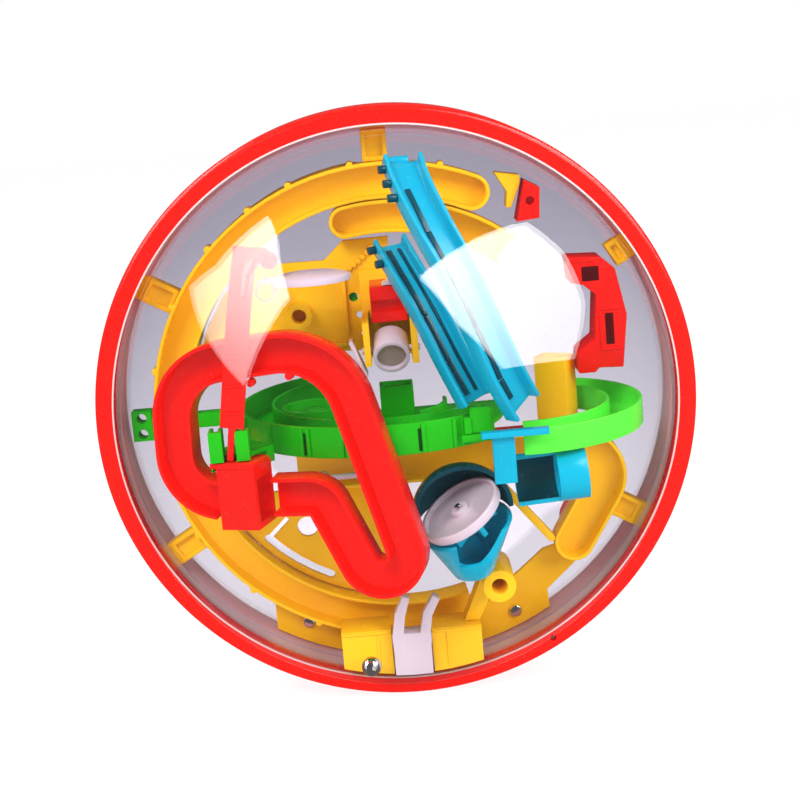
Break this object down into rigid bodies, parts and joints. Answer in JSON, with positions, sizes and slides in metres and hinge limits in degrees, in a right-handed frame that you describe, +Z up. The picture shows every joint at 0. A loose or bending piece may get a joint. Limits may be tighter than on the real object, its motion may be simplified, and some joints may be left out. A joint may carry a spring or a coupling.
{
  "type": "3d maze ball puzzle",
  "caption": "Hand-held clear sphere with a red rim and a coloured marble maze of yellow, red, green and teal tracks inside",
  "frame": {"origin": "centre of the sphere, in the plane between the two domes", "axes": "+Z up, +X to the viewer's right, the front of the maze faces -Y"},
  "size_m": [0.19, 0.1804, 0.19],
  "materials": {
    "clear_shell": "clear glossy plastic",
    "red_plastic": "moulded glossy plastic",
    "yellow_plastic": "moulded glossy plastic",
    "green_plastic": "moulded glossy plastic",
    "lime_plastic": "moulded glossy plastic",
    "teal_plastic": "moulded glossy plastic",
    "dark_teal_plastic": "moulded glossy plastic",
    "white_plastic": "moulded glossy plastic",
    "steel": "polished steel"
  },
  "bodies": {
    "globe": {"front_dome": "clear_shell", "rear_dome": "clear_shell", "front_rim": "red_plastic", "rear_rim": "red_plastic", "rim_pin": "steel", "main_ring_track": "yellow_plastic", "upper_inner_track": "yellow_plastic", "lower_ring_track": "yellow_plastic", "ring_spokes": "yellow_plastic", "center_plate": "yellow_plastic", "cup_bracket": "yellow_plastic", "lower_plate": "yellow_plastic", "hook_track": "yellow_plastic", "hook_guard": "yellow_plastic", "base_plates": "yellow_plastic", "base_box_left": "yellow_plastic", "base_box_right": "yellow_plastic", "base_boss": "yellow_plastic", "base_screws": "steel", "start_fork": "white_plastic", "green_deck": "green_plastic", "deck_floor": "green_plastic", "deck_inner_ring": "green_plastic", "deck_tower": "green_plastic", "deck_clips": "green_plastic", "deck_side_tab": "green_plastic", "deck_riser": "yellow_plastic", "side_loop": "lime_plastic", "snake_track": "red_plastic", "snake_bracket": "red_plastic", "snake_arm": "red_plastic", "box_hook": "red_plastic", "top_clip": "red_plastic", "clip_lug": "yellow_plastic", "cup_block": "red_plastic", "block_flap": "white_plastic", "ramp_upper": "teal_plastic", "ramp_lower": "teal_plastic", "ramp_foot": "teal_plastic", "scoop_tube": "teal_plastic", "wheel_hood": "dark_teal_plastic", "wheel_bowl": "teal_plastic", "wheel_axle": "steel", "plate_post": "yellow_plastic", "stop_pin": "white_plastic", "guide_strip": "white_plastic", "rear_arc_track": "yellow_plastic", "rear_shelf_track": "green_plastic", "rear_run_track": "red_plastic"},
    "ball": {"steel_ball": "steel"},
    "wheel": {"swing_wheel": "white_plastic", "star_paddle": "teal_plastic"},
    "plate": {"tilt_plate": "white_plastic"},
    "cup": {"tilt_cup": "white_plastic"}
  },
  "joints": [
    {"name": "ball_roll", "type": "hinge", "parent": "globe", "child": "ball", "pos_m": [0, -0.028, 0], "axis": [0, 1, 0], "range_deg": [-24, 24]},
    {"name": "wheel_spin", "type": "hinge", "parent": "globe", "child": "wheel", "pos_m": [0.0176, -0.035, -0.0295], "axis": [-0.483, -0.2588, 0.8365], "continuous": true},
    {"name": "plate_tilt", "type": "hinge", "parent": "globe", "child": "plate", "pos_m": [-0.0358, -0.03, 0.044], "axis": [0, 1, 0], "range_deg": [-16, 14]},
    {"name": "cup_tilt", "type": "hinge", "parent": "globe", "child": "cup", "pos_m": [-0.0001, -0.022, 0.0213], "axis": [1, 0, 0], "range_deg": [-22, 22]}
  ]
}
